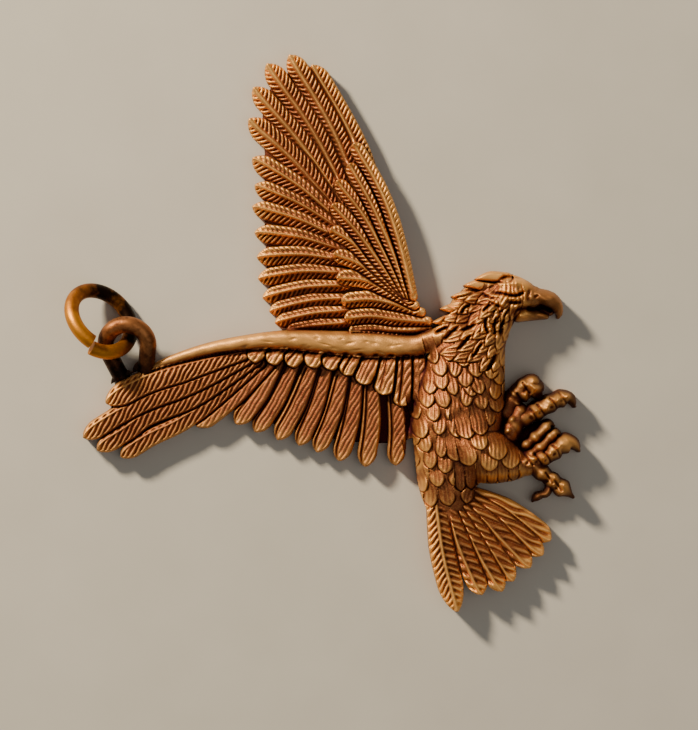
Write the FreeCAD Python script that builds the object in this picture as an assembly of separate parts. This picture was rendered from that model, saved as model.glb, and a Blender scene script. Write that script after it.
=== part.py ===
import FreeCAD, Part
import math
import os

# Cast eagle pendant with a brazed hanging loop and an open jump ring.
# Millimetres. The relief faces +Z, its flat back lies on z = 0, and +Y is towards the raised wing.
# Outlines are drawn in the casting's own sketch frame and moved to the final origin at the end.

V = FreeCAD.Vector

# ---- driving dimensions -------------------------------------------------------------
CASTING_SPAN = 49.4           # raised wing tip to tail tip, along Y
FEATHER_THICKNESS = 1.55      # back to top of a flight feather
SHINGLE_STEP = 0.14           # how far each second feather stands above its neighbours
WEB_THICKNESS = 0.9           # metal that joins neighbouring feathers
COVERT_THICKNESS = 2.15       # short feathers over the roots of the flight feathers
ARM_HEIGHT = 2.75             # smooth arm of the near wing
BODY_HEIGHT = 4.6             # breast
HEAD_HEIGHT = 4.1
THIGH_HEIGHT = 4.95
TAIL_THICKNESS = 1.75
TOE_HEIGHT = 2.9
BACK_TRIM = 0.15              # ground off the back to leave it flat
TIP_SHARE = 0.35              # share of a feather's length that its rounded tip may take up
TIP_LENGTH = 0.62             # length of a feather's tip as a share of its width
TIP_SHOULDER = 0.62           # width of the tip's shoulders as a share of the feather's width
TIP_FULLNESS = 0.3            # how far behind the tip's end the shoulders stand, as a share of the tip
WIDENS_OVER = 0.45            # share of a feather's length over which it grows to its full width
EDGE_STEPS = 3                # spans between the points that shape a feather's long edges
DOME_STEPS = 8                # spans of the arc over a domed section

LOOP_WIRE = 1.5               # diameter of the hanging loop's wire
LOOP_PLAY = 0.2               # free room for the ring's wire inside the loop
LOOP_FOOT_Z = 1.15            # height of the wire's centre where it meets the wing
LOOP_ROLL = 14.0              # degrees, the loop's right side rises
LOOP_NECK = 1.26              # how much closer together the feet are than the round part
LOOP_SEAT = 0.35              # how deep each foot is let into the wing's edge
FILLET_REACH = 0.45           # how far the braze spreads beyond the wire

RING_WIRE = 1.3               # 16 gauge
RING_INNER = 4.8              # inner diameter of the jump ring
RING_TILT = 46.0              # degrees, how the ring leans on what it lies on
RING_GAP = 0.32               # opening between the ring's ends
RING_OFFSET = 0.7             # how far the ring's ends are bent past each other


# ---- small geometry helpers ---------------------------------------------------------
def spline(points):
    curve = Part.BSplineCurve()
    curve.interpolate([V(*sketch(x, y), 0) for x, y in points])
    return curve


SKETCH_SPAN = 49.4            # the span that the outlines below are drawn at


def sketch(x, y):
    """A point of the drawn outlines at the casting's own span."""
    scale = CASTING_SPAN / SKETCH_SPAN
    return x * scale, y * scale


def unit(x, y):
    length = math.hypot(x, y)
    return x / length, y / length


def ellipse_section(x, y, across, width, height):
    """Half-ellipse wire that stands on the untrimmed back: a flat bottom and a domed top."""
    ax, ay = across
    left = V(x - ax * width / 2, y - ay * width / 2, -BACK_TRIM)
    right = V(x + ax * width / 2, y + ay * width / 2, -BACK_TRIM)
    dome = []
    for step in range(1, DOME_STEPS):
        angle = math.pi - math.pi * step / DOME_STEPS
        reach = width / 2 * math.cos(angle)
        rise = (height + BACK_TRIM) * math.sin(angle)
        dome.append(V(x + ax * reach, y + ay * reach, rise - BACK_TRIM))
    top = Part.BSplineCurve()
    top.interpolate([left] + dome + [right])
    return Part.Wire([top.toShape(), Part.makeLine(right, left)])


def domed_loft(stations, straight=False):
    """Loft through stations (x, y, width, height), each square to the line that they follow."""
    wires = []
    for index, (x, y, width, height) in enumerate(stations):
        before = stations[max(index - 1, 0)]
        after = stations[min(index + 1, len(stations) - 1)]
        along = unit(after[0] - before[0], after[1] - before[1])
        width *= CASTING_SPAN / SKETCH_SPAN
        wires.append(ellipse_section(*sketch(x, y), (-along[1], along[0]), width, height))
    return Part.makeLoft(wires, True, straight)


def plate(outline, thickness):
    """Plate of an outline, from the untrimmed back up to thickness above the finished back."""
    solid = Part.Face(outline).extrude(V(0, 0, thickness + BACK_TRIM))
    return solid.translated(V(0, 0, -BACK_TRIM))


def feather(line, width, thickness, root_share=0.55):
    """Flat blade that follows line from root to tip, with a rounded tip."""
    width *= CASTING_SPAN / SKETCH_SPAN
    curve = spline(line)
    first, last = curve.FirstParameter, curve.LastParameter
    length = curve.length()
    tip_length = min(TIP_SHARE * length, TIP_LENGTH * width)
    left, right = [], []
    for step in range(EDGE_STEPS + 1):
        share = (1.0 - tip_length / length) * step / EDGE_STEPS
        at = first + (last - first) * share
        point = curve.value(at)
        along = curve.tangent(at)[0]
        half = width / 2 * (root_share + (1 - root_share) * min(1.0, share / WIDENS_OVER))
        left.append(V(point.x - along.y * half, point.y + along.x * half, 0))
        right.append(V(point.x + along.y * half, point.y - along.x * half, 0))
    tip = curve.value(last)
    along = curve.tangent(last)[0]
    shoulder = TIP_SHOULDER * width / 2
    back = TIP_FULLNESS * tip_length
    tip_left = V(tip.x - along.x * back - along.y * shoulder, tip.y - along.y * back + along.x * shoulder, 0)
    tip_right = V(tip.x - along.x * back + along.y * shoulder, tip.y - along.y * back - along.x * shoulder, 0)
    left_edge = Part.BSplineCurve()
    left_edge.interpolate(left)
    right_edge = Part.BSplineCurve()
    right_edge.interpolate(right)
    end = Part.BSplineCurve()
    end.interpolate([left[-1], tip_left, V(tip.x, tip.y, 0), tip_right, right[-1]])
    outline = Part.Wire([
        left_edge.toShape(),
        end.toShape(),
        right_edge.toShape(),
        Part.makeLine(right[0], left[0]),
    ])
    return plate(outline, thickness)


def bowed_middle(root, tip, bow):
    """Middle point of a feather's line, pushed to the left of the way from root to tip."""
    ax, ay = unit(tip[0] - root[0], tip[1] - root[1])
    return (root[0] + tip[0]) / 2 - ay * bow, (root[1] + tip[1]) / 2 + ax * bow


def outline_plate(points, thickness):
    """Plate with a smooth closed outline through points."""
    curve = Part.BSplineCurve()
    curve.interpolate([V(*sketch(x, y), 0) for x, y in points], PeriodicFlag=True)
    return plate(Part.Wire(curve.toShape()), thickness)


def fused(shapes):
    return shapes[0].multiFuse(shapes[1:]).removeSplitter()


def ground_flat(solid):
    """The solid with everything behind the back plane taken off."""
    box = solid.BoundBox
    room = Part.makeBox(2 * box.XLength, 2 * box.YLength, 2 * box.ZLength)
    return solid.common(room.translated(V(box.XMin - box.XLength / 2, box.YMin - box.YLength / 2, 0)))


# ---- near wing ----------------------------------------------------------------------
# Long flight feathers, outermost first: (line from root to tip, width)
NEAR_PRIMARIES = [
    ([(-6.7, -1.9), (-10.7, -2.9), (-15.2, -4.2), (-19.0, -6.1)], 2.2),
    ([(-6.2, -2.4), (-10.7, -4.6), (-15.2, -6.0), (-18.0, -7.3), (-21.0, -9.2)], 1.75),
    ([(-5.6, -2.5), (-10.7, -5.7), (-15.2, -7.5), (-17.0, -8.8), (-19.8, -10.3)], 1.75),
    ([(-5.2, -2.7), (-9.8, -6.3), (-12.5, -8.1), (-15.2, -9.4), (-17.7, -10.9)], 1.6),
]
SECONDARY_BOW = 0.25          # sideways bow of the near wing's shorter feathers
# Shorter flight feathers, fanned from the arm: (root, tip, width)
NEAR_SECONDARIES = [
    ((-4.6, -2.7), (-11.0, -8.2), 1.45),
    ((-3.9, -2.7), (-7.5, -8.0), 1.6),
    ((-2.5, -2.9), (-5.8, -8.7), 1.65),
    ((-0.8, -3.1), (-3.8, -9.4), 1.6),
    ((0.5, -3.2), (-1.9, -9.9), 1.5),
    ((2.0, -3.7), (-0.3, -10.5), 1.6),
    ((3.2, -4.0), (1.7, -11.3), 1.8),
    ((4.6, -4.4), (4.0, -11.8), 1.85),
    ((6.6, -5.2), (6.7, -11.7), 1.6),
]
# Smooth arm: (x, y, width, height share)
NEAR_ARM = [
    (10.6, -0.8, 2.4, 0.9),
    (8.6, -1.0, 1.9, 1.0),
    (4.5, -1.1, 2.3, 1.0),
    (0.9, -0.9, 2.1, 1.0),
    (-3.0, -0.6, 1.5, 1.0),
    (-6.5, -0.9, 1.3, 0.95),
    (-10.0, -1.5, 1.2, 0.88),
    (-13.5, -2.6, 1.1, 0.8),
]
NEAR_COVERT_PLATE = [
    (9.8, -0.6), (4.5, -0.4), (-0.5, -0.2), (-5.0, -0.3), (-9.0, -1.2), (-12.0, -2.2),
    (-9.0, -3.0), (-6.2, -2.9), (-3.0, -2.9), (0.9, -3.3), (3.6, -4.4), (6.2, -6.4), (8.6, -7.4),
]

NEAR_WEB = [
    (-6.0, -1.6), (-12.0, -3.0), (-17.0, -5.3), (-19.3, -7.5), (-19.7, -8.9), (-18.5, -9.9), (-15.2, -9.2),
    (-12.0, -7.8), (-9.6, -7.2), (-7.9, -6.7), (-6.3, -7.3), (-4.4, -8.0), (-2.5, -8.5), (-0.9, -8.9),
    (1.0, -9.4), (3.2, -9.7), (6.0, -9.8), (8.0, -9.4), (9.3, -8.2), (9.4, -2.0), (2.0, -1.4),
]


def near_wing():
    pieces = [outline_plate(NEAR_WEB, WEB_THICKNESS)]
    for index, (line, width) in enumerate(NEAR_PRIMARIES):
        pieces.append(feather(line, width, FEATHER_THICKNESS + SHINGLE_STEP * (3 - index)))
    for index, (root, tip, width) in enumerate(NEAR_SECONDARIES):
        middle = bowed_middle(root, tip, SECONDARY_BOW)
        thickness = FEATHER_THICKNESS + SHINGLE_STEP * (index % 2)
        pieces.append(feather([root, middle, tip], width, thickness, root_share=0.8))
    pieces.append(outline_plate(NEAR_COVERT_PLATE, COVERT_THICKNESS))
    pieces.append(domed_loft([(x, y, w, ARM_HEIGHT * share) for x, y, w, share in NEAR_ARM]))
    return pieces


# ---- far wing -----------------------------------------------------------------------
FLIGHT_BOW = 0.045            # sideways bow as a share of the feather's length
# Flight feathers from the leading edge downwards: (root, tip, width)
FAR_FLIGHT = [
    ((6.0, 8.3), (-0.6, 23.8), 1.7),
    ((4.2, 11.0), (-2.6, 24.6), 1.75),
    ((3.0, 11.5), (-4.6, 23.8), 1.75),
    ((2.4, 11.0), (-5.8, 21.8), 1.7),
    ((2.0, 10.4), (-6.2, 19.0), 1.9),
    ((2.0, 9.6), (-5.9, 15.5), 1.75),
    ((2.0, 9.0), (-5.7, 13.1), 1.5),
    ((2.0, 8.4), (-5.9, 11.2), 1.45),
    ((2.0, 7.6), (-5.7, 8.9), 1.5),
    ((2.1, 6.8), (-5.5, 6.7), 1.55),
    ((2.2, 5.8), (-5.4, 4.9), 1.4),
    ((2.4, 4.6), (-5.0, 3.2), 1.3),
    ((2.6, 3.4), (-4.4, 2.0), 1.2),
    ((2.8, 2.0), (-3.9, 0.9), 1.2),
    ((2.8, 0.6), (-3.0, 0.1), 1.2),
]
FAR_COVERT_PLATE = [
    (2.9, 16.4), (4.2, 15.6), (5.5, 11.9), (6.7, 7.8), (7.6, 4.6), (9.2, 2.2), (10.2, 0.9),
    (7.0, -0.5), (3.2, -0.4), (0.8, 1.0), (0.9, 5.0), (0.7, 9.0), (0.8, 11.6), (1.8, 14.2),
]
FAR_EDGE = [
    (3.2, 17.2, 0.9, 0.72),
    (4.6, 13.8, 1.2, 0.85),
    (5.8, 9.8, 1.4, 0.95),
    (6.8, 5.8, 1.6, 1.0),
    (8.1, 2.7, 1.9, 1.0),
    (10.0, 1.0, 2.4, 1.0),
]

FAR_WEB = [
    (2.0, -0.2), (-2.7, 0.3), (-4.0, 2.2), (-4.6, 4.4), (-4.8, 7.0), (-4.9, 9.4), (-5.0, 12.0), (-4.9, 14.6),
    (-5.0, 17.4), (-5.1, 19.6), (-4.5, 21.6), (-3.4, 23.0), (-1.9, 23.0), (-0.2, 22.0), (3.0, 16.6), (5.2, 10.0),
    (6.8, 4.4), (8.6, 0.6),
]


def far_wing():
    pieces = [outline_plate(FAR_WEB, WEB_THICKNESS)]
    for index, (root, tip, width) in enumerate(FAR_FLIGHT):
        middle = bowed_middle(root, tip, -FLIGHT_BOW * math.dist(root, tip))
        thickness = FEATHER_THICKNESS + SHINGLE_STEP * (index % 2)
        pieces.append(feather([root, middle, tip], width, thickness))
    pieces.append(outline_plate(FAR_COVERT_PLATE, COVERT_THICKNESS))
    pieces.append(domed_loft([(x, y, w, ARM_HEIGHT * share) for x, y, w, share in FAR_EDGE]))
    return pieces


# ---- body, head, thigh, tail --------------------------------------------------------
# (x, y, width, share of BODY_HEIGHT)
BODY_LINE = [
    (11.2, -15.8, 3.4, 0.45),
    (11.3, -13.2, 5.4, 0.72),
    (12.0, -10.0, 7.6, 0.95),
    (12.4, -6.6, 8.0, 1.0),
    (12.9, -3.4, 7.4, 1.0),
    (13.6, -0.6, 6.6, 0.97),
    (14.9, 1.6, 5.6, 0.93),
    (16.3, 3.0, 4.6, 0.9),
]
# (x, y, width, share of HEAD_HEIGHT)
HEAD_LINE = [
    (13.2, 1.4, 3.6, 0.80),
    (14.8, 2.8, 4.6, 0.97),
    (16.6, 3.4, 4.5, 1.0),
    (18.2, 3.1, 3.5, 0.92),
    (19.4, 2.8, 2.5, 0.8),
    (20.6, 2.6, 1.9, 0.66),
]
BEAK_LINE = [
    (19.4, 2.8, 2.4, 0.76),
    (20.6, 2.7, 1.9, 0.66),
    (21.2, 2.2, 1.3, 0.55),
    (21.5, 1.3, 0.5, 0.4),
]
THIGH_LINE = [
    (11.8, -9.8, 4.4, 0.93),
    (14.2, -10.7, 5.4, 0.98),
    (16.4, -11.4, 4.0, 0.84),
    (18.2, -11.8, 2.2, 0.62),
]
# (root, tip, width, bow to the left of the line from root to tip)
TAIL_FEATHERS = [
    ((12.6, -14.0), (20.4, -18.3), 1.8, 0.5),
    ((12.2, -14.1), (19.7, -19.6), 1.8, 0.3),
    ((11.9, -14.2), (18.6, -20.7), 1.8, 0.2),
    ((11.5, -14.3), (17.1, -21.9), 1.8, 0.1),
    ((11.2, -14.4), (16.1, -22.8), 1.7, 0.0),
    ((10.9, -14.4), (14.3, -23.1), 1.9, -0.15),
    ((10.2, -14.2), (12.1, -24.7), 2.3, -0.3),
]


def body():
    pieces = []
    pieces.append(domed_loft([(x, y, w, BODY_HEIGHT * share) for x, y, w, share in BODY_LINE]))
    pieces.append(domed_loft([(x, y, w, HEAD_HEIGHT * share) for x, y, w, share in HEAD_LINE]))
    pieces.append(domed_loft([(x, y, w, HEAD_HEIGHT * share) for x, y, w, share in BEAK_LINE]))
    pieces.append(domed_loft([(x, y, w, THIGH_HEIGHT * share) for x, y, w, share in THIGH_LINE]))
    return pieces


def tail():
    pieces = []
    for index, (root, tip, width, bow) in enumerate(TAIL_FEATHERS):
        middle = bowed_middle(root, tip, bow)
        thickness = TAIL_THICKNESS + SHINGLE_STEP * (index % 2)
        pieces.append(feather([root, middle, tip], width, thickness, root_share=0.7))
    return pieces


# ---- legs and toes ------------------------------------------------------------------
# Each toe is a run of stations (x, y, width, share of TOE_HEIGHT), claw last.
TOES = [
    [(17.4, -11.7, 2.4, 1.0), (18.9, -11.3, 1.8, 1.0), (20.3, -10.7, 1.6, 0.95), (21.2, -10.0, 1.7, 1.0),
     (22.4, -9.9, 1.1, 0.8), (23.3, -10.5, 0.4, 0.5)],
    [(18.2, -12.1, 1.8, 1.0), (19.6, -12.5, 1.6, 0.9), (20.6, -13.2, 1.5, 0.9), (21.4, -13.9, 1.2, 0.75),
     (22.4, -14.6, 0.4, 0.45)],
    [(18.4, -12.4, 1.5, 0.9), (19.5, -13.3, 1.2, 0.8), (20.2, -14.0, 1.0, 0.7), (19.6, -14.5, 0.7, 0.55),
     (18.9, -15.0, 0.35, 0.4)],
    [(18.2, -11.2, 1.5, 0.9), (18.8, -10.1, 1.4, 0.9), (19.6, -9.1, 1.3, 0.8), (20.8, -8.6, 0.6, 0.5)],
    [(17.0, -8.0, 1.8, 0.9), (18.4, -7.2, 1.5, 0.9), (19.9, -6.3, 1.5, 0.95), (21.2, -5.7, 1.3, 0.85),
     (22.5, -6.4, 0.45, 0.5)],
    [(17.0, -7.6, 1.7, 0.9), (17.6, -6.1, 1.5, 0.9), (18.4, -5.0, 1.5, 0.9), (19.3, -4.9, 0.8, 0.6)],
]
FAR_SHANK = [(15.6, -10.6, 2.0, 0.8), (16.6, -9.6, 1.7, 0.85), (17.0, -8.4, 1.6, 0.9), (17.4, -7.2, 1.6, 0.9)]


def feet():
    pieces = []
    for stations in TOES + [FAR_SHANK]:
        pieces.append(domed_loft([(x, y, w, TOE_HEIGHT * share) for x, y, w, share in stations], True))
    return pieces


# ---- jump ring and hanging loop: shared places ---------------------------------------
RING_RADIUS = (RING_INNER + RING_WIRE) / 2
RING_HEIGHT = RING_RADIUS * math.sin(math.radians(RING_TILT)) + RING_WIRE / 2
RING_LEVEL_LINE = -47.0       # direction, in degrees, of the ring's level diameter
RING_SIDESTEP = 0.21          # the ring's centre beside the line through the loop's centre
RING_GAP_AT = 68.0            # degrees round the ring from that diameter, towards its high side
SWING_AT = 168.0              # degrees round the loop, where the ring rocks on the loop's wire

LEAN_ROOM = 1.15              # widens the loop for a ring that passes through it at a slant
LOOP_RADIUS = (LOOP_WIRE / 2 + RING_WIRE / 2 + LOOP_PLAY) * LEAN_ROOM
LOOP_BELOW_RING = 0.75        # the loop's centre below the ring's centre
FEET_MIDDLE = sketch(-16.5, -3.65)
EDGE_DIRECTION = unit(2.1, 1.2)
LOOP_RISE = LOOP_RADIUS + LOOP_WIRE / 2      # feet to the loop's centre, away from the wing
LOOP_RUN = 0.79               # the loop's centre beside the middle of its feet
FEET_SPACING = 2 * LOOP_RADIUS - LOOP_NECK
LOOP_TILT = math.atan((RING_HEIGHT - LOOP_BELOW_RING - LOOP_FOOT_Z) / LOOP_RISE)


def beside_feet(run, rise):
    """Point run along the wing's edge from the middle of the feet, and rise away from it."""
    ex, ey = EDGE_DIRECTION
    return FEET_MIDDLE[0] + ex * run - ey * rise, FEET_MIDDLE[1] + ey * run + ex * rise


LOOP_CENTRE = beside_feet(LOOP_RUN, LOOP_RISE)
LEFT_FOOT = beside_feet(-FEET_SPACING / 2, 0)
RIGHT_FOOT = beside_feet(FEET_SPACING / 2, 0)


# ---- hanging loop -------------------------------------------------------------------
def loop_frame():
    """Local axes of the loop: along the wing's edge, away from the wing, and square to both."""
    ex, ey = EDGE_DIRECTION
    origin = V(FEET_MIDDLE[0], FEET_MIDDLE[1], LOOP_FOOT_Z)
    roll = math.radians(LOOP_ROLL)
    edge = V(ex, ey, 0)
    away = V(-ey * math.cos(LOOP_TILT), ex * math.cos(LOOP_TILT), math.sin(LOOP_TILT))
    normal = edge.cross(away)
    rolled = edge * math.cos(roll) + normal * math.sin(roll)
    return origin, rolled, away, rolled.cross(away)


def loop_point(x, y):
    """Point of the loop's plane that lies over (x, y) of the sketch."""
    origin, edge, away = loop_frame()[:3]
    ex, ey = EDGE_DIRECTION
    dx, dy = x - origin.x, y - origin.y
    run, rise = dx * ex + dy * ey, -dx * ey + dy * ex
    return origin + edge * run + away * (rise / math.cos(LOOP_TILT))


def tangent_point(foot, side):
    """Where the straight leg from foot touches the loop's round part."""
    dx, dy = LOOP_CENTRE[0] - foot[0], LOOP_CENTRE[1] - foot[1]
    distance = math.hypot(dx, dy)
    turn = math.atan2(dy, dx) + side * math.asin(LOOP_RADIUS / distance)
    reach = math.sqrt(distance**2 - LOOP_RADIUS**2)
    return foot[0] + reach * math.cos(turn), foot[1] + reach * math.sin(turn)


def beyond(start, foot):
    """Foot moved on along its leg, into the wing's edge."""
    dx, dy = unit(foot[0] - start[0], foot[1] - start[1])
    return foot[0] + dx * LOOP_SEAT, foot[1] + dy * LOOP_SEAT


def loop_path():
    start = tangent_point(LEFT_FOOT, 1)
    end = tangent_point(RIGHT_FOOT, -1)
    first = math.atan2(start[1] - LOOP_CENTRE[1], start[0] - LOOP_CENTRE[0])
    last = math.atan2(end[1] - LOOP_CENTRE[1], end[0] - LOOP_CENTRE[0])
    if first < last:
        first += 2 * math.pi
    middle = (first + last) / 2
    top = (LOOP_CENTRE[0] + LOOP_RADIUS * math.cos(middle), LOOP_CENTRE[1] + LOOP_RADIUS * math.sin(middle))
    left_end = beyond(start, LEFT_FOOT)
    right_end = beyond(end, RIGHT_FOOT)
    arc = Part.Arc(loop_point(*start), loop_point(*top), loop_point(*end)).toShape()
    left = Part.makeLine(loop_point(*left_end), loop_point(*start))
    right = Part.makeLine(loop_point(*end), loop_point(*right_end))
    return Part.Wire([left, arc, right])


def hanging_loop():
    path = loop_path()
    start = path.Edges[0].valueAt(path.Edges[0].FirstParameter)
    along = path.Edges[0].tangentAt(path.Edges[0].FirstParameter)
    section = Part.Wire(Part.makeCircle(LOOP_WIRE / 2, start, along))
    sweep = Part.BRepOffsetAPI.MakePipeShell(path)
    sweep.setFrenetMode(True)
    sweep.add(section)
    sweep.build()
    sweep.makeSolid()
    return sweep.shape()


def braze_fillets(casting, loop):
    """Filler metal round each foot, shaped by the wing's edge and the wire."""
    path = loop_path()
    feet = [path.Edges[0].valueAt(path.Edges[0].FirstParameter)]
    feet.append(path.Edges[-1].valueAt(path.Edges[-1].LastParameter))
    reach = LOOP_WIRE / 2 + FILLET_REACH
    beside_edge = Part.makeBox(4 * reach, 4 * reach, FEATHER_THICKNESS)
    for foot in feet:
        room = beside_edge.translated(V(foot.x - 2 * reach, foot.y - 2 * reach, 0))
        yield Part.makeSphere(reach, foot).common(room).cut(loop).cut(casting)


# ---- jump ring ----------------------------------------------------------------------
def ring_frame():
    level = math.radians(RING_LEVEL_LINE)
    tilt = math.radians(RING_TILT)
    side = level - math.pi / 2
    along = V(math.cos(level), math.sin(level), 0)
    up = V(math.cos(side) * math.cos(tilt), math.sin(side) * math.cos(tilt), math.sin(tilt))
    centre = V(LOOP_CENTRE[0], LOOP_CENTRE[1], RING_HEIGHT) - along * RING_RADIUS
    return centre + V(math.cos(side), math.sin(side), 0) * RING_SIDESTEP, along, up


def jump_ring():
    """Two half turns of round wire, bent apart at the gap about the point opposite to it."""
    centre, along, up = ring_frame()
    normal = along.cross(up)
    middle = math.radians(RING_GAP_AT)
    to_gap = along * math.cos(middle) + up * math.sin(middle)
    hinge = centre - to_gap * RING_RADIUS
    sideways = normal.cross(to_gap)
    half_gap = math.degrees(RING_GAP / 2 / RING_RADIUS)
    bend = math.degrees(math.asin(RING_OFFSET / 2 / (2 * RING_RADIUS)))
    halves = []
    for side in (-1, 1):
        circle = Part.makeCircle(RING_WIRE / 2, hinge, sideways)
        half = Part.Face(Part.Wire(circle)).revolve(centre, normal, side * (180.0 - half_gap))
        half.rotate(hinge, sideways, -side * bend)
        halves.append(half)
    ring = halves[0].fuse(halves[1]).removeSplitter()
    ring.translate(V(0, 0, -ring.optimalBoundingBox(False, False).ZMin))
    return ring


def swing_axis():
    """Line that the ring turns about: tangent to the loop's wire, through the wire's centre."""
    turn = math.radians(SWING_AT)
    x, y = LOOP_CENTRE[0] + LOOP_RADIUS * math.cos(turn), LOOP_CENTRE[1] + LOOP_RADIUS * math.sin(turn)
    ahead = loop_point(x + math.sin(turn), y - math.cos(turn))
    return loop_point(x, y), (ahead - loop_point(x, y)).normalize()


# ---- assembly -----------------------------------------------------------------------
def eagle_casting():
    return ground_flat(fused(near_wing() + far_wing() + body() + tail() + feet()))


def main():
    os.makedirs("parts", exist_ok=True)
    casting = eagle_casting()
    loop = hanging_loop()
    casting = casting.cut(loop)
    fillets = Part.makeCompound(list(braze_fillets(casting, loop)))
    ring = jump_ring()
    nodes = {
        "eagle_casting": casting,
        "hanging_loop": loop,
        "braze_fillets": fillets,
        "jump_ring": ring,
    }
    whole = Part.makeCompound(list(nodes.values())).optimalBoundingBox(False, False)
    shift = V(-whole.Center.x, -whole.Center.y, 0)
    for name, shape in nodes.items():
        shape.translate(shift)
        shape.exportStep("parts/" + name + ".step")
        print(name, "valid", shape.isValid(), "solids", len(shape.Solids), "volume", round(shape.Volume, 2))
    point, axis = swing_axis()
    centre, along, up = ring_frame()
    print("origin moved by", [round(v, 4) for v in shift])
    print("swing point", [round(v, 4) for v in point + shift], "axis", [round(v, 5) for v in axis])
    print("ring centre", [round(v, 4) for v in centre + shift], "normal", [round(v, 5) for v in up.cross(along)])
    hole, normal = loop_point(*LOOP_CENTRE) + shift, loop_frame()[3]
    print("loop centre", [round(v, 4) for v in hole], "loop normal", [round(v, 5) for v in normal])
    print("back point", [round(v, 4) for v in V(*sketch(*BODY_LINE[3][:2]), 0) + shift])


main()
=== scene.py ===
import math

import bmesh
import bpy
import numpy as np
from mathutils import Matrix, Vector


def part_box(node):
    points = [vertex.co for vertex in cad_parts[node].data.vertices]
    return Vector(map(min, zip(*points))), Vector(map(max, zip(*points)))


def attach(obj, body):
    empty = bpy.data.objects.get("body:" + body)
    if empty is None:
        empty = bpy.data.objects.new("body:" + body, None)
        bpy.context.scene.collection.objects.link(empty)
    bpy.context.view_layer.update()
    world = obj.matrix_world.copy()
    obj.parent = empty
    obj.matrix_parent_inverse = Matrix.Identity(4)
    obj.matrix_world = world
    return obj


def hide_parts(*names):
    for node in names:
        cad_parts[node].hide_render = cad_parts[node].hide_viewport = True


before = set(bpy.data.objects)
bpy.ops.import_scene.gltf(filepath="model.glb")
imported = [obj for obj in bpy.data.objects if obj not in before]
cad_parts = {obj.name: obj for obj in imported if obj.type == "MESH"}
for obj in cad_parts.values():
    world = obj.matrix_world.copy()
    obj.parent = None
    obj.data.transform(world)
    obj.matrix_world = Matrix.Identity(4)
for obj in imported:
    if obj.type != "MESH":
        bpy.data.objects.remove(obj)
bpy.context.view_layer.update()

# Cast copper eagle pendant, lying face up on a pale surface.
# The relief is worked out as a height field in millimetres, in the casting's own sketch frame,
# and cut into closed pieces that stand on the flat back.

MM = 0.001
PITCH = 0.055                 # spacing of the relief's grid
SKETCH_LOW = (-21.10, -24.72)  # lowest corner of the casting in its sketch frame
ROUNDING = 0.24               # width of a flight or tail feather's rounded edge
BODY_ROUNDING = 0.16          # the same for a feather that lies on the body
GAP = 0.17                    # width of the groove beside an overlapping feather
WEB_TOP = 0.95                # metal between the feathers
WEB_DROP = 0.5                # how far the web's edge falls
FLIGHT_TOP = 1.62
COVERT_TOP = 2.2
TAIL_TOP = 1.85
TUFT_TOP = 3.1
LOWEST = 0.3                  # the relief is nowhere thinner than this
WIDENS_OVER = 0.45            # share of a feather's length over which it gets its full width
BARB_SHARPNESS = 1.6          # higher makes the cuts between barbs narrower
BLURS = (0.11, 0.45, 1.3)     # radii that tell fine, wide and broad ridges from hollows

casting_low, casting_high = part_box("eagle_casting")
SHIFT = Vector((casting_low.x / MM - SKETCH_LOW[0], casting_low.y / MM - SKETCH_LOW[1], 0))
SKETCH_HIGH = (casting_high.x / MM - SHIFT.x, casting_high.y / MM - SHIFT.y)
HIGHEST = casting_high.z / MM

PIECES = ["near_wing", "far_wing_flight", "far_wing_coverts", "body", "legs_and_feet", "tail"]


# ---- curves and small fields ----
def smooth_line(points, steps=7):
    """Catmull-Rom line through points, as an array of places."""
    given = np.array(points, float)
    padded = np.vstack([2 * given[0] - given[1], given, 2 * given[-1] - given[-2]])
    share = np.linspace(0, 1, steps, endpoint=False)[:, None]
    spans = []
    for a, b, c, d in zip(padded, padded[1:], padded[2:], padded[3:]):
        spans.append(0.5 * (2 * b + (c - a) * share + (2 * a - 5 * b + 4 * c - d) * share**2
                            + (3 * b - a - 3 * c + d) * share**3))
    spans.append(given[-1:])
    return np.vstack(spans)


def along_and_across(x, y, line):
    """For each place: distance along line, signed distance to its left, and the line's length."""
    starts, steps = line[:-1], np.diff(line, axis=0)
    lengths = np.hypot(steps[:, 0], steps[:, 1])
    before = np.concatenate([[0.0], np.cumsum(lengths)[:-1]])
    best = np.full(x.shape, np.inf)
    along = np.zeros(x.shape)
    across = np.zeros(x.shape)
    for (sx, sy), (dx, dy), length, passed in zip(starts, steps, lengths, before):
        px, py = x - sx, y - sy
        share = np.clip((px * dx + py * dy) / length**2, 0, 1)
        gap = np.hypot(px - share * dx, py - share * dy)
        nearer = gap < best
        best[nearer] = gap[nearer]
        along[nearer] = (passed + share * length)[nearer]
        across[nearer] = (np.sign(dx * py - dy * px) * gap)[nearer]
    return along, across, before[-1] + lengths[-1]


def passed_at(line):
    """Distance along a line at each of its points."""
    steps = np.hypot(*np.diff(line, axis=0).T)
    return np.concatenate([[0], np.cumsum(steps)])


def ramp(value, low, high):
    """Smooth step from 0 at low to 1 at high."""
    share = np.clip((value - low) / (high - low), 0, 1)
    return share * share * (3 - 2 * share)


def unevenness(x, y, size, seed):
    """Smooth hand-made unevenness between about -1 and 1."""
    a = np.sin(x / size * 2.1 + seed * 1.7 + 1.3 * np.sin(y / size * 1.1 + seed))
    b = np.sin(y / size * 2.4 - seed * 0.9 + 1.1 * np.sin(x / size * 1.7 - 2.0 * seed))
    c = np.sin((x + y) / size * 3.7 + seed * 3.1)
    return (a + b + 0.6 * c) / 2.6


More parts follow.
